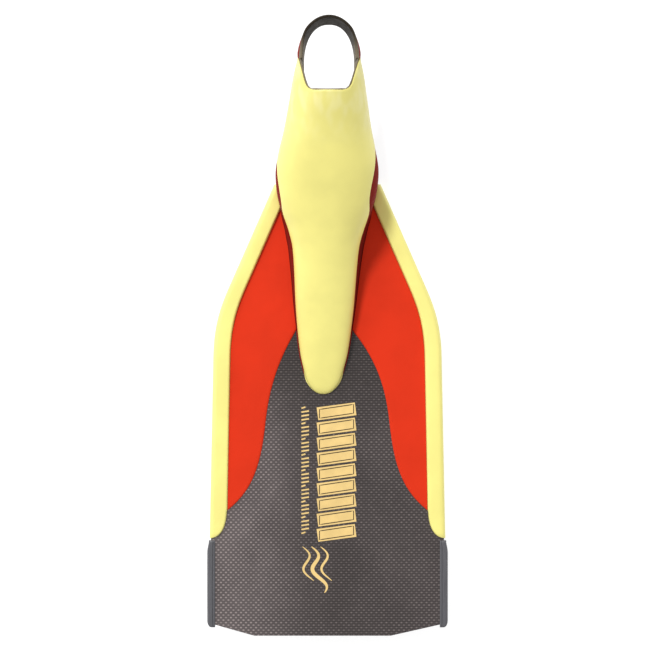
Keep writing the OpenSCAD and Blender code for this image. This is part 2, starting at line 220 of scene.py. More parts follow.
class Shader:
    """A material under construction. Its patterns follow the mesh's rest positions, in mm."""

    def __init__(self, name, cad=False, **settings):
        self.material = bpy.data.materials.new(name)
        self.material.use_nodes = True
        self.tree = self.material.node_tree
        self.surface = self.tree.nodes["Principled BSDF"]
        for socket, value in settings.items():
            self.surface.inputs[socket.replace("_", " ")].default_value = value
        if cad:
            # A CAD node carries no rest mark, but its own coordinates are its place in metres
            self.rest = self.times(self.node("ShaderNodeTexCoord").outputs["Object"], (1 / MM,) * 3)
        else:
            self.rest = self.mark("rest", "Vector")
        self.normal = None

    def node(self, kind, inputs=None, **properties):
        made = self.tree.nodes.new(kind)
        for key, value in properties.items():
            setattr(made, key, value)
        for socket, value in (inputs or {}).items():
            if isinstance(value, bpy.types.NodeSocket):
                self.tree.links.new(value, made.inputs[socket])
            else:
                made.inputs[socket].default_value = value
        return made

    def mark(self, name, output="Fac"):
        return self.node("ShaderNodeAttribute", attribute_name=name).outputs[output]

    def place(self, axis):
        """The rest position along one axis, 0 for X and 1 for Y."""
        return self.node("ShaderNodeSeparateXYZ", {0: self.rest}).outputs[axis]

    def times(self, vector, factors):
        inputs = {0: vector, 1: factors}
        return self.node("ShaderNodeVectorMath", inputs, operation="MULTIPLY").outputs[0]

    def math(self, operation, a, b=0.0, c=0.0):
        return self.node("ShaderNodeMath", {0: a, 1: b, 2: c}, operation=operation).outputs[0]

    def span(self, value, low, high, to_low=0.0, to_high=1.0):
        """value carried from the range low..high to the range to_low..to_high, smoothly."""
        return self.node(
            "ShaderNodeMapRange",
            {"Value": value, "From Min": low, "From Max": high, "To Min": to_low, "To Max": to_high},
            interpolation_type="SMOOTHSTEP",
        ).outputs["Result"]

    def noise(self, size, detail=2.0, stretch=(1, 1, 1)):
        """Smooth noise from 0 to 1, in patches about size mm across and longer where stretched."""
        at = self.times(self.rest, tuple(1 / (size * s) for s in stretch))
        inputs = {"Vector": at, "Scale": 1.0, "Detail": detail}
        return self.node("ShaderNodeTexNoise", inputs).outputs["Fac"]

    def mixed(self, factor, a, b):
        made = self.node("ShaderNodeMix", data_type="RGBA")
        for socket, value in zip((made.inputs[0], made.inputs[6], made.inputs[7]), (factor, a, b)):
            if isinstance(value, bpy.types.NodeSocket):
                self.tree.links.new(value, socket)
            else:
                socket.default_value = (*value, 1) if isinstance(value, tuple) else value
        return made.outputs[2]

    def bump(self, height, depth):
        """Raises the surface by depth mm where height is 1."""
        inputs = {"Height": height, "Distance": depth * MM, "Strength": 1.0}
        if self.normal:
            inputs["Normal"] = self.normal
        self.normal = self.node("ShaderNodeBump", inputs).outputs[0]

    def done(self, colour, roughness):
        self.tree.links.new(colour, self.surface.inputs["Base Color"])
        self.tree.links.new(roughness, self.surface.inputs["Roughness"])
        if self.normal:
            self.tree.links.new(self.normal, self.surface.inputs["Normal"])
        return self.material


def tinted(colour, factor):
    return tuple(min(c * factor, 1.0) for c in colour)


def rubber(name, colour, roughness, grain=0.5, seam=None, heel_shade_and_highlights=None, cad=False, **settings):
    """Moulded rubber: cloudy colour, a fine grain, faint waviness and a few duller rub marks.

    seam is a colour beside the wings and how far it spreads, in mm. The pair of heel stations
    bounds where painted shade darkens the colour toward the heel, with paler bands of painted
    highlight.
    """
    s = Shader(name, cad=cad, **settings)
    clouds = s.noise(38, 3.0)
    base = s.mixed(s.span(clouds, 0.3, 0.7), tinted(colour, 0.955), tinted(colour, 1.03))
    specks = s.span(s.noise(1.3, 1.0), 0.70, 0.78)
    base = s.mixed(s.math("MULTIPLY", specks, 0.06), base, tinted(colour, 0.6))
    # Painted shade: darker toward the heel; painted highlights: paler bands on the instep
    if heel_shade_and_highlights:
        along = s.place(1)
        base = s.mixed(s.span(along, *heel_shade_and_highlights), base, tinted(colour, 0.80))
        highlight_streaks = s.span(s.noise(13, 1.0, (0.7, 1.7, 1)), 0.42, 0.72, 0.0, 0.3)
        highlight_colour = tuple(mix(c, 1, 0.35) for c in colour)
        base = s.mixed(s.math("MULTIPLY", highlight_streaks, s.span(along, 172, 222)), base, highlight_colour)
    if seam:
        base = s.mixed(s.span(s.mark("seam"), seam[1], 0.15), base, seam[0])
    rubs = s.span(s.noise(7, 4.0, (0.5, 3.0, 1)), 0.56, 0.72)
    even = s.span(clouds, 0.2, 0.8, roughness - 0.04, roughness + 0.05)
    s.bump(s.noise(9, 2.0), 0.18)
    s.bump(s.noise(0.7, 3.0), 0.025 * grain)
    return s.done(base, s.math("MULTIPLY_ADD", rubs, 0.14, even))


def laminate(name):
    """Plain-woven glass cloth in dark resin: every other crossing shows a lighter bundle."""
    cell = 2.5
    s = Shader(name, Coat_Weight=0.35, Coat_Roughness=0.22, Specular_IOR_Level=0.25)
    x, y = s.place(0), s.place(1)
    across, along = (s.math("DIVIDE", v, cell) for v in (x, y))
    column, row = (s.math("FLOOR", v) for v in (across, along))
    crown = [s.math("SINE", s.math("MULTIPLY", s.math("FRACT", v), math.pi)) for v in (across, along)]
    over = s.math("FLOORED_MODULO", s.math("ADD", column, row), 2.0)
    dome = s.math("MULTIPLY", s.math("POWER", crown[0], 0.6), s.math("POWER", crown[1], 1.5))

    # Painted light: the cloth is drawn paler toward the -X side, a painted reflection of the lamps on
    # that side, and darker by the nose, painted shade from the pocket; it is also darker along the
    # blade's middle
    off_middle = s.math("ABSOLUTE", s.math("ADD", x, 4.0))
    pale = s.math("MULTIPLY", s.span(x, -110, 60, 1.0, 0.28), s.span(off_middle, 8, 70, 0.45, 1.0))
    pale = s.math("MULTIPLY", pale, s.span(y, -20, -120, 0.1, 1.0))
    pale = s.math("MULTIPLY", pale, s.span(s.noise(45, 2.0), 0.3, 0.7, 0.8, 1.15))

    # Each bundle catches the light a little differently
    cells = s.node("ShaderNodeCombineXYZ", {0: column, 1: row}).outputs[0]
    chance = s.node("ShaderNodeTexWhiteNoise", {0: cells}, noise_dimensions="3D").outputs["Value"]
    fibres = s.noise(0.35, 2.0, (6, 1, 1))
    dot = s.math("MULTIPLY", over, s.span(dome, 0.12, 0.80))
    for factor, gain, least in ((chance, 0.45, 0.62), (fibres, 0.7, 0.65), (pale, 0.85, 0.24)):
        dot = s.math("MULTIPLY", dot, s.math("MULTIPLY_ADD", factor, gain, least))
    under = s.math("MULTIPLY", s.math("SUBTRACT", 1.0, over), crown[1])

    # The resin between bundles is also paler where the painted reflection falls and darker in the
    # painted shade by the nose
    ground = s.mixed(pale, (0.016, 0.0120, 0.0110), (0.108, 0.090, 0.090))
    ground = s.mixed(s.span(s.noise(60, 2.0), 0.3, 0.7, 0.0, 0.3), ground, (0.018, 0.014, 0.014))
    base = s.mixed(s.math("MULTIPLY_ADD", under, 0.10, dot), ground, (0.32, 0.265, 0.255))
    s.bump(s.math("MULTIPLY", dome, s.math("MULTIPLY_ADD", over, 0.6, 0.4)), 0.05)
    s.bump(s.noise(25, 2.0), 0.15)
    return s.done(base, s.span(s.noise(12, 3.0), 0.2, 0.8, 0.36, 0.50))


def extruded(name, colour):
    """Extruded plastic: faint draw lines along the rail and small nicks."""
    s = Shader(name, Specular_IOR_Level=0.45)
    lines = s.noise(0.5, 2.0, (1, 60, 1))
    nicks = s.span(s.noise(2.2, 3.0), 0.66, 0.74)
    base = s.mixed(s.span(lines, 0.25, 0.75), tinted(colour, 0.86), tinted(colour, 1.16))
    base = s.mixed(s.math("MULTIPLY", nicks, 0.3), base, tinted(colour, 1.9))
    s.bump(lines, 0.03)
    s.bump(s.noise(0.6, 2.0), 0.012)
    return s.done(base, s.span(s.noise(8, 3.0), 0.2, 0.8, 0.40, 0.56))


def lining(name, colour, dimple, depth, heel=None):
    """Matt inner rubber with small moulded dimples, going to the heel colour behind the heel."""
    s = Shader(name, Specular_IOR_Level=0.1)
    at = s.times(s.rest, (1 / dimple,) * 3)
    cells = s.node("ShaderNodeTexVoronoi", {"Vector": at, "Scale": 1.0}).outputs["Distance"]
    base = s.mixed(s.span(s.noise(22, 3.0), 0.3, 0.7), tinted(colour, 0.88), tinted(colour, 1.1))
    if heel:
        base = s.mixed(s.span(s.place(1), 262, 288), base, heel)
    base = s.mixed(s.span(cells, 0.0, 0.7, 0.0, 0.22), base, tinted(colour, 0.55))
    s.bump(s.span(cells, 0.0, 0.6), depth)
    s.bump(s.noise(0.5, 2.0), 0.02)
    return s.done(base, s.span(s.noise(6, 3.0), 0.2, 0.8, 0.55, 0.72))


def print_ink(name, colour, wear):
    """Screen-printed ink: slightly uneven, worn to specks in places."""
    s = Shader(name, Specular_IOR_Level=0.4)
    base = s.mixed(s.span(s.noise(14, 3.0), 0.3, 0.7), tinted(colour, 0.92), tinted(colour, 1.05))
    specks = s.span(s.noise(0.8, 2.0), 0.62, 0.72, 0.0, wear)
    base = s.mixed(specks, base, tinted(colour, 0.45))
    s.bump(s.noise(0.6, 2.0), 0.01)
    return s.done(base, s.span(s.noise(3, 2.0), 0.2, 0.8, 0.34, 0.48))


SEAM_COLOUR = (0.20, 0.13, 0.05)
# The yellow gets painted shade toward the heel and paler painted highlights on the instep
YELLOW = rubber(
    "yellow_rubber", (0.94, 0.857, 0.255), 0.39, heel_shade_and_highlights=(165, 275), Specular_IOR_Level=0.55,
)
RED = rubber(
    "red_rubber", (0.71, 0.034, 0.008), 0.55, seam=(SEAM_COLOUR, 0.5), Specular_IOR_Level=0.1,
)
# Painted shade: the walls and the heel band are the same red rubber as the panels, drawn much darker
# as if in shade
RED_PAINTED_SHADE = rubber("dark_red_rubber", (0.235, 0.018, 0.013), 0.6, Specular_IOR_Level=0.03)
BLACK = rubber("black_rubber", (0.045, 0.042, 0.04), 0.6, grain=2.0)
FILLER = rubber("core_rubber", (0.35, 0.33, 0.30), 0.7, grain=3.0, cad=True)
LAMINATE = laminate("laminate")
PLASTIC = extruded("rail_plastic", (0.100, 0.099, 0.109))
LINING = lining("lining", (0.23, 0.19, 0.13), 0.9, 0.05, heel=(0.016, 0.011, 0.007))
FOOTBED = lining("footbed", (0.09, 0.083, 0.075), 2.6, 0.3)
GOLD_INK = print_ink("gold_ink", (0.86, 0.61, 0.235), 0.25)
BROWN_INK = print_ink("brown_ink", (0.035, 0.020, 0.012), 0.4)


# ---- plan of the wings and the blade, for the side at +X ----

WING_OUTER = np.vstack([
    [(52.2, WING_HEEL_Y)],
    bezier((95, 53), (106, 28.5), (113.6, 10), (114, -27)),
    [(117.5, WING_END_Y)],
])
WING_FRONT = bezier((117.2, WING_END_Y), (107, WING_END_Y), (101, -195), (100.3, WING_FRONT_Y))


def x_at(outline, y):
    """x at station y on an outline whose points (x, y) go from the heel toward the tip."""
    return float(np.interp(-y, -outline[:, 1], outline[:, 0]))


def wing_edge(y):
    return x_at(WING_OUTER, y)


# ---- section of the foot pocket ----

HALF_WIDTH = Curve(
    (-60, 3), (-57, 9.5), (-50, 15), (-37, 19.5), (-17, 24), (23, 28.5), (82, 32.5), (101, 37),
    (121, 45), (140, 49.5), (159, 50.5), (178, 47), (197, 42.5), (229, 37), (245, 34.5), (262, 31),
)
MID_HEIGHT = Curve((-60, 7), (0, 14), (72, 27), (160, 49), (229, 65), (262, 71))
CROWN_HEIGHT = Curve(
    (-60, 8.5), (-50, 13), (-20, 22), (20, 33), (60, 45), (100, 60), (148, 82), (190, 101),
    (229, 115), (262, 113),
)
# How much wider the walls' foot is than the pocket, on either side
FOOT_FLARE = Curve(
    (-60, 0.6), (-40, 1.5), (0, 2), (40, 3.5), (90, 5.5), (112, 3), (126, 0), (150, -3),
    (200, -7), (262, -3),
)
# Angle up the wall at which the yellow upper ends, on either side
UPPER_EDGE = {
    LEFT: Curve((-40, 0), (92, 0), (111, 9), (131, 22), (159, 17), (180, 2), (262, 0)),
    RIGHT: Curve((-40, 0), (92, 0), (111, 12), (131, 31), (159, 26), (197, 0), (262, 0)),
}
# Half the width of the opening that the foot goes through
OPENING = Curve(
    (229, 13), (230, 16.8), (231.8, 19.9), (235, 22), (239.5, 23.6), (248, 26.0), (258, 28.9),
    (264, 30.5),
)
# Power that makes the arch a little squarer than an ellipse
ARCH = 0.9
# The blunt nose, before it rounds off: half width, and heights over the blade
NOSE_HALF, NOSE_CROWN, NOSE_MIDDLE = 15.0, 7.0, 2.0
SOLE_T, FOOTBED_T = 4.0, 2.0
FLOOR_Y, FLOOR_Z, SLOPE = 72.0, 15.0, math.tan(math.radians(14))


def axis_x(y):
    """The pocket's centre line, which drifts to one side toward the heel."""
    return 0.018 * (y - RAMP_Y) - 0.5


def floor_z(y):
    """Height that the foot stands at."""
    return FLOOR_Z + (y - FLOOR_Y) * SLOPE


def sole_bottom(y):
    return floor_z(y) - SOLE_T - FOOTBED_T


def base_z(y):
    """Height of the side walls' lower edge: on the blade, then up the ramp and along the sole."""
    if y < RAMP_Y:
        return BLADE_TOP
    if y < RAMP_HEEL_Y:
        return mix(BLADE_TOP, sole_bottom(RAMP_HEEL_Y), (y - RAMP_Y) / (RAMP_HEEL_Y - RAMP_Y))
    return sole_bottom(y)


class Section:
    """The pocket's cross-section at station y."""

    def __init__(self, y):
        self.y, self.axis, self.base = y, axis_x(y), base_z(y)
        if y < NOSE_ROUND_Y:
            blunt = (max(y - NOSE_TIP_Y, 0) / (NOSE_ROUND_Y - NOSE_TIP_Y)) ** 0.45
            self.wide = NOSE_HALF * blunt
            self.crown = BLADE_TOP + NOSE_CROWN * blunt
            self.middle = BLADE_TOP + NOSE_MIDDLE * blunt
        else:
            self.wide, self.crown, self.middle = HALF_WIDTH(y), CROWN_HEIGHT(y), MID_HEIGHT(y)
        self.foot = self.wide + FOOT_FLARE(y)

    def point(self, side, angle, depth=0.0):
        """A point depth under the surface, from angle -90 at the wall's foot to 90 at the crown."""
        depth = min(depth, 0.4 * self.wide, 0.7 * (self.crown - self.middle))
        wide, turn = self.wide - depth, math.radians(angle)
        if angle < 0:
            across = mix(self.foot - depth, wide, math.cos(turn))
            up = (self.middle - self.base) * math.sin(turn)
        else:
            across = wide * max(math.cos(turn), 0) ** ARCH
            up = (self.crown - depth - self.middle) * math.sin(turn) ** ARCH
        return np.array((self.axis + side * across, self.y, self.middle + up))

    def angle_at(self, height):
        """Angle at which the wall, below its widest place, crosses a height."""
        return -math.degrees(math.asin((self.middle - height) / (self.middle - self.base)))

    def opening(self, inset=0.0):
        """Angle at which the surface meets the foot opening."""
        if self.y < INSTEP_Y + inset:
            return 90.0
        share = max(OPENING(self.y) - inset, 0) / self.wide
        return math.degrees(math.acos(min(share, 1) ** (1 / ARCH)))


def foot_x(side, y):
    """How far from the fin's middle the pocket's foot is, on one side."""
    s = Section(y)
    return side * s.axis + max(s.foot, s.wide)


# Where the upper's edge starts to climb toward the horns' points, and how high up the wall they are
HORN_Y, HORN_ANGLE = 244.0, 13.0


def upper_edge(side, y):
    """Angle at which the upper ends: on the blade at the nose, and in a point at either horn."""
    angle = UPPER_EDGE[side](y)
    if y < -30:
        return mix(-90, angle, smooth((y + 48) / 18))
    return mix(angle, HORN_ANGLE, smooth((y - HORN_Y) / (HORN_TIP_Y - HORN_Y)))


def last_station(low, high, inside):
    """The station between low and high up to which inside(y) holds."""
    if inside(high):
        return high
    for _ in range(30):
        middle = (low + high) / 2
        low, high = (middle, high) if inside(middle) else (low, middle)
    return low


def columns(n):
    """Pairs of side and share up the wall, from the left edge over the crown to the right edge."""
    shares = [1 - math.cos(math.pi / 2 * i / n) * 0.5 - (1 - i / n) * 0.5 for i in range(n + 1)]
    return [(LEFT, f) for f in shares] + [(RIGHT, f) for f in reversed(shares[:-1])]


# ---- foot pocket ----

# Thickness of the upper over the toes and at the instep, and the depths of the walls' two faces
UPPER_T, UPPER_THIN_T = 2.6, 1.2
WALL_OUT, WALL_IN = 0.35, 2.4
# Creases across the instep: distance from its edge, half width, depth
CREASES = ((5.0, 1.3, 0.22), (9.5, 1.6, 0.16))


def pocket_upper():
    """The yellow skin: a blunt nose, the arch over the foot, and two horns beside the heel."""
    grid = columns(34)
    skins = ([], [])
    ends = []
    for side, f in grid:
        def inside(y):
            return mix(upper_edge(side, y), 90, f) <= Section(y).opening()
        ends.append(last_station(200, HORN_TIP_Y, inside))
    nose = [NOSE_TIP_Y + (NOSE_ROUND_Y - NOSE_TIP_Y) * (i / 12) ** 2 for i in range(12)]
    body = np.linspace(0, 1, 112)
    rows = [(y, None) for y in nose] + [(None, t) for t in body]
    for y, t in rows:
        line = ([], [])
        for (side, f), end in zip(grid, ends):
            at = y if t is None else mix(NOSE_ROUND_Y, end, t)
            s = Section(at)
            angle = mix(upper_edge(side, at), 90, f)
            crease = sum(
                deep * math.exp(-((end - at - back) / half) ** 2) for back, half, deep in CREASES
            )
            crease *= smooth((f - 0.45) / 0.3) if at > 200 else 0
            thick = mix(UPPER_T, UPPER_THIN_T, smooth((at - 200) / 28))
            line[0].append(s.point(side, angle, crease))
            line[1].append(s.point(side, angle, thick))
        for skin, points in zip(skins, line):
            skin.append(points)
    points, faces = shell(*skins, bulge=0.5)
    make("pocket_upper_skin", points, faces, YELLOW, "yellow_rubber", ["pocket_upper"], bend=STRETCH)


def side_walls():
    """The red walls under the upper, drawn dark as painted shade, with a skirt beside the toes."""
    ys = np.concatenate([np.linspace(-46, -30, 9), np.linspace(-28, 262, 120)])
    for side, name in ((LEFT, "left"), (RIGHT, "right")):
        outer, inner = [], []
        for y in ys:
            s = Section(y)
            top = min(upper_edge(side, y) + 5, s.opening() - 2)
            turns = [mix(-90, max(top, -86), i / 22) for i in range(23)]
            outer.append([s.point(side, a, WALL_OUT) for a in turns])
            inner.append([s.point(side, a, WALL_IN) for a in turns])
        points, faces = shell(outer, inner, bulge=0.7)
        node = f"side_wall_{name}"
        make(f"{node}_skin", points, faces, RED_PAINTED_SHADE, "dark_red_rubber", [node], bend=STRETCH)


# The heel hole's lower edge: half width, reach behind BAND_Y and front
HOLE_HALF, HOLE_DEEP, HOLE_FRONT_Y = 24.2, 35.0, 233.0
# How far inside the upper's edge the lining's rim is, and how deep its inner face there
LIP, RIM_DEPTH = 1.1, 2.0
# Power that bows the slope from the hole's edge up to the rim
BOW = 0.85


def pocket_liner():
    """The inner rubber: parallel to the skin, then a slope down to the heel hole along the arms."""
    grid = columns(26)
    ends = []
    for side, f in grid:
        def inside(y):
            s = Section(y)
            return mix(s.angle_at(floor_z(y)), 90, f) <= s.opening(LIP)
        ends.append(last_station(200, BAND_Y, inside))
    outer, inner = [], []
    for t in np.linspace(0, 1, 90):
        line = ([], [])
        for (side, f), end in zip(grid, ends):
            at = mix(TOE_Y, end, t)
            s = Section(at)
            low = s.angle_at(floor_z(at))
            angle = mix(low, 90, f)
            thin = smooth((at - 205) / 25)
            inside_skin = s.point(side, angle, mix(4.3, 2.6, thin))
            arm = smooth((at - 223) / 14) * smooth((1 - f) / 0.35)
            rim = s.opening(LIP)
            up = (angle - low) / (rim - low)
            foot = np.array((axis_x(BAND_Y) + side * HOLE_HALF, at, sole_bottom(at) + 0.8))
            slope = mix(foot, s.point(side, rim, RIM_DEPTH), up ** BOW)
            line[0].append(s.point(side, angle, mix(UPPER_T + 0.1, UPPER_THIN_T + 0.05, thin)))
            line[1].append(mix(inside_skin, slope, arm))
        outer.append(line[0])
        inner.append(line[1])
    points, faces = shell(outer, inner, bulge=0.6)
    make("pocket_liner_skin", points, faces, LINING, "lining", ["pocket_liner"], bend=STRETCH)


# The heel band outside: half width, reach behind BAND_Y at its foot and rim, height, and rim's slope
BAND_HALF, BAND_DEEP_LOW, BAND_DEEP_HIGH = 31.0, 38.5, 40.0
BAND_HIGH, BAND_RISE = 33.8, 0.22
# Most that the band's sides bend in at the foot and the rim
PINCH = 2.6
# Share of the height up to which the outside is red, and from which the lining covers the rim
RED_TOP, LINING_LIP = 0.93, 0.9
# How deep under the band's outside the lining's inner face is
LINING_IN = 2.4


def band_point(angle, h, depth):
    """A point at share h of the band's height, from angle -90 on the left to 90 on the right."""
    turn = math.radians(angle)
    pinch = PINCH * smooth((abs(angle) - 42) / 40) * (2 * h - 0.9) ** 2
    half = BAND_HALF - depth - pinch
    deep = mix(BAND_DEEP_LOW, BAND_DEEP_HIGH, h) - depth - pinch
    y = BAND_Y + deep * math.cos(turn)
    low = sole_bottom(y) + 3 * smooth(1.4 * math.cos(turn)) + 0.2
    high = sole_bottom(BAND_Y) + BAND_HIGH + (y - BAND_Y) * BAND_RISE
    return np.array((axis_x(BAND_Y) + half * math.sin(turn), y, mix(low, high, h)))


def hole_point(angle, h):
    """A point of the band's inner face, which slopes from the heel hole's edge up to the rim."""
    turn = math.radians(angle)
    wide = HOLE_HALF * math.copysign(abs(math.sin(turn)) ** 0.86, turn)
    foot = np.array((axis_x(BAND_Y) + wide, BAND_Y + HOLE_DEEP * math.cos(turn), 0.0))
    x, y, _ = mix(foot, band_point(angle, 1, LINING_IN), h ** BOW)
    return np.array((x, y, band_point(angle, h, LINING_IN)[2]))


def carried_forward(point):
    """A point of the band's end carried forward along the arm, and a little into it."""
    side = math.copysign(1, point[0] - axis_x(BAND_Y))
    return point + np.array((-0.5 * side, -5.0, -0.6))


def heel_band():
    """The rubber loop behind the heel: red outside, and the lining's rubber inside and on the rim."""
    levels = [i / 12 for i in range(13)]
    outer, inner, lining_out, lining_in = [], [], [], []
    for angle in np.linspace(-90, 90, 97):
        tuck = 0.9 * (1 - smooth((90 - abs(angle)) / 12))
        outer.append([band_point(angle, RED_TOP * h, tuck) for h in levels])
        inner.append([band_point(angle, RED_TOP * h, 1.4) for h in levels])
        lining_out.append([band_point(angle, h, 1.2 if h < LINING_LIP else -0.05) for h in levels])
        lining_in.append([hole_point(angle, h) for h in levels])
    for grid in (outer, inner):
        ends = [[carried_forward(p) for p in line] for line in (grid[0], grid[-1])]
        grid.insert(0, ends[0])
        grid.append(ends[1])
    points, faces = shell(outer, inner, bulge=0.7)
    # The band's outside is the panels' red drawn darker, as painted shade
    make("heel_band_skin", points, faces, RED_PAINTED_SHADE, "dark_red_rubber", ["heel_band"], bend=STRETCH)
    points, faces = shell(lining_out, lining_in, bulge=0.45)
    make("heel_band_lining", points, faces, LINING, "lining", ["heel_band_liner"], bend=STRETCH)


# ---- sole ----

# Where the sole starts, how far it is inside the walls, and how much lower it lies on the ramp
SOLE_FRONT_Y, SOLE_INSET, RAMP_SKIN = 149.0, 0.9, 1.3


def hole_x(y):
    """Half the width of the heel hole at station y."""
    return 0.0 if y <= HOLE_FRONT_Y else (HOLE_HALF + 0.9) * rounded((y - HOLE_FRONT_Y) / 9)


def sole():
    """The rubber under the foot: a ramp up from the blade, the sole, and an arm beside the heel."""
    shares = [mix(-1, 1, i / 52) for i in range(53)]
    ends = []
    for u in shares:
        def inside(y):
            return abs(u) * (Section(y).foot - SOLE_INSET) >= hole_x(y)
        ends.append(last_station(200, BAND_Y - 0.4, inside))
    under, over = [], []
    for t in np.linspace(0, 1, 100):
        low, high = [], []
        for u, end in zip(shares, ends):
            at = mix(SOLE_FRONT_Y, end, t)
            s = Section(at)
            x = s.axis + u * (s.foot - SOLE_INSET)
            begun = smooth((at - SOLE_FRONT_Y) / 8)
            on_ramp = begun * (1 - smooth((at - RAMP_HEEL_Y) / 12))
            z = mix(BLADE_MID, s.base + 0.3 - RAMP_SKIN * on_ramp, begun)
            low.append((x, at, z))
            high.append((x, at, z + mix(1.5, SOLE_T - 0.4, smooth((at - 152) / 20))))
        under.append(low)
        over.append(high)
    points, faces = shell(under, over, bulge=0.4)
    make("sole_skin", points, faces, BLACK, "black_rubber", ["sole"], bend=STRETCH)


def bar(path, half_width, height, z_at):
    """A bar with a rounded back that hangs under the sole along a path of (x, y)."""
    path = np.array(path, float)
    sides = 12
    rings = []
    for i, (x, y) in enumerate(path):
        ahead, behind = path[min(i + 1, len(path) - 1)], path[max(i - 1, 0)]
        along = (ahead - behind) / np.linalg.norm(ahead - behind)
        across = np.array((-along[1], along[0]))
        near_end = min(i, len(path) - 1 - i) / 2
        w = half_width * mix(0.45, 1, rounded(near_end))
        h = height * mix(0.25, 1, rounded(near_end))
        ring = []
        for k in range(sides + 1):
            turn = math.pi * k / sides
            side, down = math.cos(turn), math.sin(turn) ** 0.5 if k not in (0, sides) else 0.0
            px, py = x + across[0] * w * side, y + across[1] * w * side
            ring.append((px, py, z_at(py) + 0.4 - (h + 0.4) * down))
        rings.append(ring)
    return tube(rings)


def sole_tread():
    """Chevron bars moulded under the sole."""
    pitch, reach, half_width, height = 4.6, 4.0, 1.1, 1.1
    bars = []
    for y in np.arange(197.0, INSTEP_Y, pitch):
        half = Section(y).foot - 9
        path = [(axis_x(y) + half * u, y - reach * abs(u) + 3.0) for u in np.linspace(-1, 1, 25)]
        bars.append(bar(path, half_width, height, lambda at: base_z(at) + 0.3))
    make("sole_tread", *joined(bars), BLACK, "black_rubber")


def insole():
    """The footbed, a little dished under the ball of the foot."""
    top, bottom = [], []
    for y in np.linspace(TOE_Y + 0.5, HOLE_FRONT_Y - 1.5, 60):
        s = Section(y)
        half = s.point(RIGHT, s.angle_at(floor_z(y)), 4.6)[0] - s.axis
        rows = np.linspace(-1, 1, 31)
        dish = [0.5 * (1 - u * u) * smooth((y - 90) / 40) for u in rows]
        top.append([(s.axis + u * half, y, floor_z(y) - d) for u, d in zip(rows, dish)])
        bottom.append([(s.axis + u * half, y, floor_z(y) - FOOTBED_T) for u in rows])
    points, faces = shell(top, bottom, bulge=0.5)
    make("insole_pad", points, faces, FOOTBED, "footbed", ["insole"])


# ---- wings, panels and tongue ----

# Height of a wing at its front end, and at its full height from WING_FULL_Y on
WING_LOW, WING_HIGH, WING_FULL_Y = 8.5, 12.0, 60.0


def wing_height(y):
    return mix(WING_LOW, WING_HIGH, (min(y, WING_FULL_Y) - WING_END_Y) / (WING_FULL_Y - WING_END_Y))


def wing_inner(side, y):
    """The wing's inner side: curved at its front end, and tucked under the wall at the pocket."""
    if y < WING_FRONT_Y:
        return float(np.interp(y, WING_FRONT[:, 1], WING_FRONT[:, 0]))
    inner = wing_edge(y) - WING_W
    return inner if y < TOE_Y else max(inner, foot_x(side, y) - 1.2)


def wings():
    """The rubber rails along the blade: domed above, flat below, and rounded off at the front end."""
    front = WING_END_Y + 0.1 + 26 * np.linspace(0, 1, 22) ** 2.2
    ys = np.concatenate([front, np.linspace(-177, 148, 150)])
    shares = [(1 - math.cos(math.pi * i / 18)) / 2 for i in range(19)]
    for side, name in ((LEFT, "left"), (RIGHT, "right")):
        rings = []
        for y in ys:
            outer, inner = wing_edge(y), wing_inner(side, y)
            width = max(outer - inner, 0.6)
            inner = outer - width
            beside = BLADE_TOP + 1.0 if y > PANEL_FRONT_Y else BLADE_TOP
            ends = rounded((y - WING_END_Y + 0.4) / 6) * rounded((WING_HEEL_Y + 1 - y) / 9)
            ring = []
            for f in shares:
                lift = rounded(f * width / 1.5) * rounded((1 - f) * width / 4.5) * ends
                edge = mix(beside, BLADE_MID, f)
                crown = wing_height(y) * (1 - 0.05 * (2 * f - 0.9) ** 2)
                ring.append((side * (inner + f * width), y, mix(edge, crown, lift)))
            for f in reversed(shares[1:-1]):
                lift = rounded(f * width / 2.0) * rounded((1 - f) * width / 2.5) * ends
                edge = mix(BLADE_BOTTOM - 0.9, BLADE_MID - 0.8, f)
                ring.append((side * (inner + f * width), y, mix(edge, 0.0, lift)))
            rings.append(ring)
        points, faces = tube(rings)
        make(f"wing_{name}_rail", points, faces, YELLOW, "yellow_rubber", [f"wing_{name}"])


# How far a panel goes in under the wing, and the seam mark of a point far from any seam
PANEL_TUCK, NO_SEAM = 0.9, 5.0


def panel_edge(start):
    """The panel's front edge on the blade, as (x, y) from the nose to the wing's front end."""
    return np.vstack([
        bezier((start, PANEL_NOSE_Y), (48, -26), (57.5, -52), (61.5, -87)),
        bezier((61.5, -87), (66, -131), (74, -157), (100.2, PANEL_FRONT_Y))[1:],
    ])


def panel(name, side, start, beside, level, thick, node):
    """A rubber sheet on the blade, thin at its front edge. thick is below zero on the underside."""
    edge = panel_edge(start)
    front = PANEL_FRONT_Y + 12 * np.linspace(0.05, 1, 10) ** 1.6
    ys = np.concatenate([front, np.linspace(-164, PANEL_HEEL_Y - 1, 110)])
    top, bottom, seams = [], [], []
    for y in ys:
        outer = wing_edge(y) - WING_W + PANEL_TUCK
        on_blade = y < PANEL_NOSE_Y
        inner = x_at(edge, y) if on_blade else beside(y) - 0.7
        row, under, marks = [], [], []
        for i in range(37):
            x = mix(inner, max(outer, inner + 0.3), (i / 36) ** 1.5)
            rise = rounded((x - inner) / 2.5) if on_blade else 1.0
            row.append((side * x, y, level + thick * mix(0.06, 1, rise)))
            under.append((side * x, y, level - 0.2 * math.copysign(1, thick)))
            marks.append(outer - PANEL_TUCK - x)
        top.append(row)
        bottom.append(under)
        seams.append(marks)
    points, faces = shell(top, bottom, bulge=0.0, arc=1)
    marks = np.array(seams).ravel()
    marks = np.concatenate([marks, marks, np.full(len(points) - 2 * len(marks), NO_SEAM)])
    make(name, points, faces, RED, "red_rubber", [node], marks={"seam": marks})


TONGUE = np.vstack([
    [(30, 150), (30, PANEL_HEEL_Y)], bezier((26.5, 4), (24, -30), (14, -62), (0.5, -62)),
])


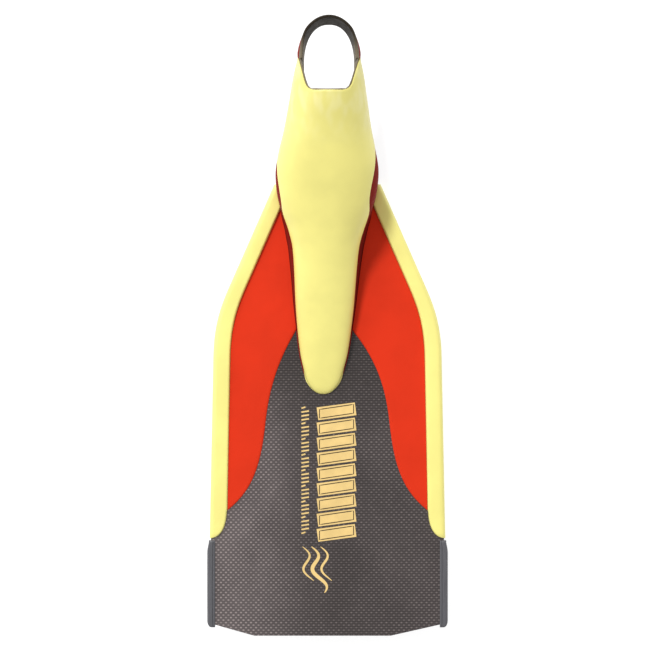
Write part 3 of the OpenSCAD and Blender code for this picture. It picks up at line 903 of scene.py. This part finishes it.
def tongue_x(y):
    return x_at(TONGUE, y)


def panels():
    for side, name in ((LEFT, "left"), (RIGHT, "right")):
        def wall_x(y):
            return foot_x(side, y)
        for where, beside, level, thick in (
            ("top", wall_x, BLADE_TOP, PANEL_T), ("bottom", tongue_x, BLADE_BOTTOM, -PANEL_T),
        ):
            node = f"{where}_panel_{name}"
            panel(f"{node}_sheet", side, wall_x(PANEL_NOSE_Y), beside, level, thick, node)


def blade_tongue():
    """The tongue under the blade, with a rounded edge and a blunt tip."""
    low, high = [], []
    for y in np.concatenate([-62 + 14 * np.linspace(0, 1, 16) ** 2, np.linspace(-46, 149, 90)]):
        half = max(tongue_x(y), 0.4)
        row, over = [], []
        for i in range(33):
            u = -math.cos(math.pi * i / 32)
            edge = rounded((1 - abs(u)) * half / 2.6) * rounded((y + 62.4) / 3)
            row.append((u * half, y, BLADE_BOTTOM - TONGUE_T * mix(0.05, 1, edge)))
            over.append((u * half, y, BLADE_BOTTOM + 0.2))
        low.append(row)
        high.append(over)
    points, faces = shell(low, high, bulge=0.0, arc=1)
    no_seam = {"seam": [NO_SEAM] * len(points)}
    make("blade_tongue_sheet", points, faces, RED, "red_rubber", ["blade_tongue"], marks=no_seam)


# ---- blade and edge rails ----

# Where the blade's square end meets its slanted corners
TIP_LEFT, TIP_RIGHT = -73.0, 63.0


def tip_line(x):
    """Station of the blade's cut end at x: square in the middle, slanted off toward both corners."""
    if x < TIP_LEFT:
        return mix(TIP_Y, TIP_CORNER_Y, (TIP_LEFT - x) / (BLADE_HALF + TIP_LEFT))
    if x > TIP_RIGHT:
        return mix(TIP_Y, TIP_CORNER_Y, (x - TIP_RIGHT) / (BLADE_HALF - TIP_RIGHT))
    return TIP_Y


def blade_half(y):
    """Half the blade's width: its edge is inside the wings, and inside the rails ahead of them."""
    return mix(wing_edge(y) - 5, BLADE_HALF, smooth((-182 - y) / 14))


def blade():
    """One sheet of laminate from under the pocket to the tip."""
    compress_y = -270.0
    ys = np.concatenate([
        np.linspace(149, -180, 84), np.linspace(-183, compress_y, 30), np.linspace(-273, TIP_Y, 14),
    ])
    corners = (TIP_LEFT / BLADE_HALF, TIP_RIGHT / BLADE_HALF)
    shares = sorted({round(u, 4) for u in (*np.linspace(-1, 1, 61), *corners)})
    top, bottom = [], []
    for y in ys:
        half = blade_half(y)
        row = []
        for u in shares:
            x = u * half
            end = tip_line(x) + 0.3
            share = max(compress_y - y, 0) / (compress_y - TIP_Y)
            row.append((x, mix(compress_y, end, share) if share else y))
        top.append([(x, at, BLADE_TOP) for x, at in row])
        bottom.append([(x, at, BLADE_BOTTOM) for x, at in row])
    points, faces = shell(top, bottom, bulge=0.3)
    make(
        "blade_sheet", points, faces, LAMINATE, "laminate", ["blade_root", "blade_tip"],
        bend=FLEX, flats=True,
    )


def edge_rails():
    """Plastic channels on the blade's free edges, with a thin lip along their inner side."""
    # Top of the rail's section: distance from its outer side, height over the blade's middle
    section = [
        (0.0, 0.0), (0.1, 1.1), (0.5, 1.9), (1.2, 2.4), (2.2, 2.5), (4.8, 2.5), (5.2, 2.35),
        (5.45, 1.75), (5.75, 1.75), (6.0, 2.2), (6.6, 2.3), (7.4, 2.2), (7.9, 1.6), (8.0, 1.0),
    ]
    corner_y, corner = -285.0, 4.0
    round_end = mix(corner_y, RAIL_END_Y, np.sin(np.linspace(0, 1, 12) * math.pi / 2))
    ys = np.concatenate([
        np.linspace(RAIL_HEEL_Y, -222, 12), np.linspace(-225, -284, 22), round_end,
    ])
    for side, name in ((LEFT, "left"), (RIGHT, "right")):
        rings = []
        for y in ys:
            narrow = 1.6 * (1 - smooth((RAIL_HEEL_Y - y) / 12))
            cut = corner * (1 - rounded((y - RAIL_END_Y) / 7)) if y < corner_y - 1 else 0.0
            end = mix(0.5, 1, rounded((y - RAIL_END_Y) / 1.2))
            end *= mix(0.7, 1, rounded((RAIL_HEEL_Y - y) / 1.5))
            outer = RAIL_OUTER - narrow - cut
            inner = RAIL_OUTER - RAIL_W
            place = [(outer - u * (outer - inner) / RAIL_W, z * end) for u, z in section]
            ring = [(side * x, y, BLADE_MID + z) for x, z in place]
            ring += [(side * x, y, BLADE_MID - z) for x, z in reversed(place[1:])]
            rings.append(ring)
        points, faces = tube(rings)
        node = f"edge_rail_{name}"
        make(f"{node}_channel", points, faces, PLASTIC, "rail_plastic", [node], bend=FLEX, flats=True)


# ---- print on the blade: a plain pattern of bars and waves ----

INK_Z, INK_T = BLADE_TOP + 0.02, 0.05


def ribbon(path, widths):
    """A flat printed stroke along a path of (x, y)."""
    path = np.array(path, float)
    along = np.gradient(path, axis=0)
    along /= np.linalg.norm(along, axis=1)[:, None]
    across = np.stack([-along[:, 1], along[:, 0]], axis=1) * np.array(widths, float)[:, None] / 2
    top = [[(*q, INK_Z + INK_T) for q in (p - a, p, p + a)] for p, a in zip(path, across)]
    under = [[(x, y, INK_Z) for x, y, _ in row] for row in top]
    return shell(top, under, bulge=0.0, arc=1)


def closed_ribbon(path, width, z):
    """A printed outline of even width around a closed path."""
    path = np.array(path, float)
    along = np.roll(path, -1, axis=0) - np.roll(path, 1, axis=0)
    along /= np.linalg.norm(along, axis=1)[:, None]
    across = np.stack([-along[:, 1], along[:, 0]], axis=1) * width / 2
    rings = []
    for p, a in zip(path, across):
        inner, outer = p - a, p + a
        rings.append([(*inner, z + INK_T), (*outer, z + INK_T), (*outer, z), (*inner, z)])
    points = [q for ring in rings for q in ring]
    n = len(rings)
    faces = [
        (4 * i + k, 4 * i + (k + 1) % 4, 4 * ((i + 1) % n) + (k + 1) % 4, 4 * ((i + 1) % n) + k)
        for i in range(n) for k in range(4)
    ]
    return points, faces


def slanted(x0, x1, y, rise, half, inset):
    """Points around a slanted bar from x0 to x1, close enough together to bend with the blade."""
    ends = (x0 + inset, x1 - inset)
    over = [(mix(*ends, t), y + rise * (t - 0.5) + half - inset) for t in np.linspace(0, 1, 13)]
    return over + [(x, up - 2 * (half - inset)) for x, up in reversed(over)]


def printed_bars():
    """Slanted bars one after another toward the tip, and the outline in each."""
    count, x0, x1, first_y, pitch, rise, half = 9, -10.0, 28.0, -70.5, 15.15, 5.0, 6.4
    outline, inset = 0.9, 2.0
    gold, brown = [], []
    for i in range(count):
        y = first_y - pitch * (i + 0.5)
        path = [(x, y + rise * ((x - x0) / (x1 - x0) - 0.5)) for x in np.linspace(x0, x1, 14)]
        gold.append(ribbon(path, [2 * half] * 14))
        brown.append(closed_ribbon(slanted(x0, x1, y, rise, half, inset), outline, INK_Z + 0.04))
    return gold, brown


def printed_strokes():
    """A row of short strokes beside the bars, every fourth one shorter."""
    count, x0, first_y, pitch, rise, width = 33, -26.0, -75.0, 3.9, 1.2, 1.5
    strokes = []
    for i in range(count):
        y, reach = first_y - i * pitch, 7.5 if i % 4 else 4.0
        strokes.append(ribbon([(x0 + reach * t, y + rise * t) for t in (0, 0.5, 1)], [width] * 3))
    return strokes


def printed_waves():
    """Three waves side by side, tapered at both ends."""
    first_y, lean, swing = -213.0, 0.26, 5.0
    waves = []
    for x0, reach, width in ((-25, 34, 1.9), (-16, 46, 3.0), (-7, 34, 1.9)):
        shares = np.linspace(0, 1, 41)
        path = [
            (x0 + lean * t * reach + swing * math.sin(t * reach / swing), first_y - t * reach)
            for t in shares
        ]
        waves.append(ribbon(path, [width * (0.25 + math.sin(math.pi * t) ** 0.7) for t in shares]))
    return waves


def blade_print():
    """A generic gold graphic: a column of slanted bars, a row of short strokes and three waves."""
    gold, brown = printed_bars()
    gold += printed_strokes() + printed_waves()
    make("print_gold", *joined(gold), GOLD_INK, "laminate", bend=FLEX, flats=True)
    make("print_brown", *joined(brown), BROWN_INK, "laminate", bend=FLEX, flats=True)


# ---- fillers ----

def fillers():
    """The two hidden fillers keep their CAD shape, and get their material."""
    for name in ("nose_core", "wedge_core"):
        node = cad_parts[name]
        node.data.materials.clear()
        node.data.materials.append(FILLER)


# ---- floor, light and camera ----

def floor():
    """A plain pale floor, with a shallow dip ahead of the wings so that the blade can bend down."""
    far, deep, dip_start_y, dip_end_y, dip_half = 3000, 30, -214, -455, 210
    xs = np.concatenate([
        np.linspace(-far, -220, 8), np.linspace(-200, 200, 41), np.linspace(220, far, 8),
    ])
    ys = np.concatenate([
        np.linspace(-far, -480, 8), np.linspace(-460, -200, 53), np.linspace(-190, far, 12),
    ])
    points = []
    for y in ys:
        along = smooth((dip_start_y - y) / 70) * smooth((y - dip_end_y) / 110)
        points += [(x, y, -0.02 - deep * along * smooth((dip_half - abs(x)) / 60)) for x in xs]
    mesh = bpy.data.meshes.new("floor")
    mesh.from_pydata((np.array(points) * MM).tolist(), [], grid_faces(len(ys), len(xs)))
    mesh.polygons.foreach_set("use_smooth", [True] * len(mesh.polygons))
    plain = bpy.data.materials.new("floor")
    plain.use_nodes = True
    surface = plain.node_tree.nodes["Principled BSDF"]
    surface.inputs["Base Color"].default_value = (0.4, 0.4, 0.4, 1)
    surface.inputs["Roughness"].default_value = 0.9
    surface.inputs["Specular IOR Level"].default_value = 0.1
    surface.inputs["Emission Color"].default_value = (1, 1, 1, 1)
    surface.inputs["Emission Strength"].default_value = 0.8
    mesh.materials.append(plain)
    made = bpy.data.objects.new("floor", mesh)
    bpy.context.scene.collection.objects.link(made)


def area_light(name, direction, distance, size, power):
    """A soft round lamp in the given direction from the fin, facing it. Lengths are in metres."""
    data = bpy.data.lights.new(name, "AREA")
    data.shape, data.size, data.energy = "DISK", size, power
    lamp = bpy.data.objects.new(name, data)
    lamp.location = np.array(direction, float) / np.linalg.norm(direction) * distance
    lamp.rotation_euler = (-lamp.location).to_track_quat("-Z", "Y").to_euler()
    bpy.context.scene.collection.objects.link(lamp)


def studio():
    world = bpy.data.worlds.new("studio")
    world.use_nodes = True
    sky = world.node_tree.nodes["Background"]
    sky.inputs["Color"].default_value = (1, 1, 1, 1)
    sky.inputs["Strength"].default_value = 0.56
    bpy.context.scene.world = world
    area_light("key", (-0.36, 0.86, 1.0), distance=6.0, size=1.05, power=242)
    area_light("fill", (-1.0, 0.1, 0.6), distance=5.0, size=3.0, power=46)
    bpy.context.scene.view_settings.view_transform = "Standard"


def camera():
    """Straight down over the middle of the fin, as in a catalogue picture. Lengths are in metres."""
    data = bpy.data.cameras.new("camera")
    data.sensor_width = 36.0
    data.lens = 104.4
    data.clip_start, data.clip_end = 0.05, 20.0
    made = bpy.data.objects.new("camera", data)
    made.location = (0, 0.0055, 1.9)
    bpy.context.scene.collection.objects.link(made)
    bpy.context.scene.camera = made


camera()
blade()
edge_rails()
wings()
panels()
blade_tongue()
side_walls()
pocket_upper()
pocket_liner()
heel_band()
sole()
sole_tread()
insole()
blade_print()
fillers()
floor()
studio()
